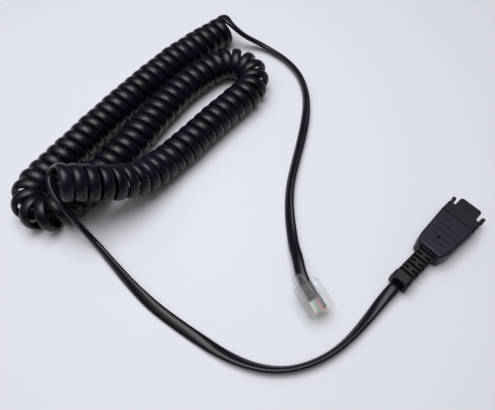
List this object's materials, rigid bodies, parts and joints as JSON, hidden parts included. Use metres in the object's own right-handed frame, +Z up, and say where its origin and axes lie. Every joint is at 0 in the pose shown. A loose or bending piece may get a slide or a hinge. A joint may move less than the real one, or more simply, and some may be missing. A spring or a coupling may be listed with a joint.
{
  "type": "headset connecting cord",
  "caption": "Black coiled headset cord with a quick-disconnect connector at one end and a clear modular plug at the other.",
  "frame": {"origin": "bottom centre of the quick-disconnect connector, on the surface that it lies on", "axes": "+X is the way the connector mates, +Z is up"},
  "size_m": [0.1184, 0.1301, 0.0279],
  "materials": {
    "housing": "satin moulded",
    "carrier": "satin moulded",
    "boot": "soft matt",
    "cord_jacket": "glossy PVC",
    "clear_plastic": "clear moulded",
    "contact_metal": "gold flashed",
    "solder": "dull",
    "clamp": "moulded",
    "wire_black": "insulation",
    "wire_red": "insulation",
    "wire_green": "insulation",
    "wire_yellow": "insulation"
  },
  "bodies": {
    "connector_and_cord": {"lower_shell": "housing", "top_cover": "housing", "contact_carrier": "carrier", "strain_relief_boot": "boot", "cord_inner_end": "cord_jacket", "cord_connector_tail": "cord_jacket", "curly_cord": "cord_jacket", "cord_plug_tail": "cord_jacket", "plug_jacket_end": "cord_jacket", "cable_clamp": "clamp", "solder_joints": "solder", "plug_crimp_bar": "clear_plastic", "plug_body": "clear_plastic", "contact_1": "contact_metal", "plug_contact_1": "contact_metal", "contact_2": "contact_metal", "plug_contact_2": "contact_metal", "contact_3": "contact_metal", "plug_contact_3": "contact_metal", "contact_4": "contact_metal", "plug_contact_4": "contact_metal", "conductor_black": "wire_black", "plug_wire_black": "wire_black", "conductor_red": "wire_red", "plug_wire_red": "wire_red", "conductor_green": "wire_green", "plug_wire_green": "wire_green", "conductor_yellow": "wire_yellow", "plug_wire_yellow": "wire_yellow"},
    "left_arm": {"latch_arm_left": "carrier"},
    "right_arm": {"latch_arm_right": "carrier"},
    "plug_latch_arm": {"plug_latch": "clear_plastic"}
  },
  "joints": [
    {"name": "left_arm_flex", "type": "hinge", "parent": "connector_and_cord", "child": "left_arm", "pos_m": [0.0095, 0.0053, 0.0033], "axis": [0, 0, 1], "range_deg": [-3.5, 0.5], "stiffness_Nm_per_rad": 0.02},
    {"name": "right_arm_flex", "type": "hinge", "parent": "connector_and_cord", "child": "right_arm", "pos_m": [0.0095, -0.0053, 0.0033], "axis": [0, 0, -1], "range_deg": [-3.5, 0.5], "stiffness_Nm_per_rad": 0.02},
    {"name": "plug_latch_flex", "type": "hinge", "parent": "connector_and_cord", "child": "plug_latch_arm", "pos_m": [-0.04415, 0.01089, 0.00792], "axis": [0.8582, -0.2591, 0.4431], "range_deg": [-14, 0], "stiffness_Nm_per_rad": 0.02}
  ]
}
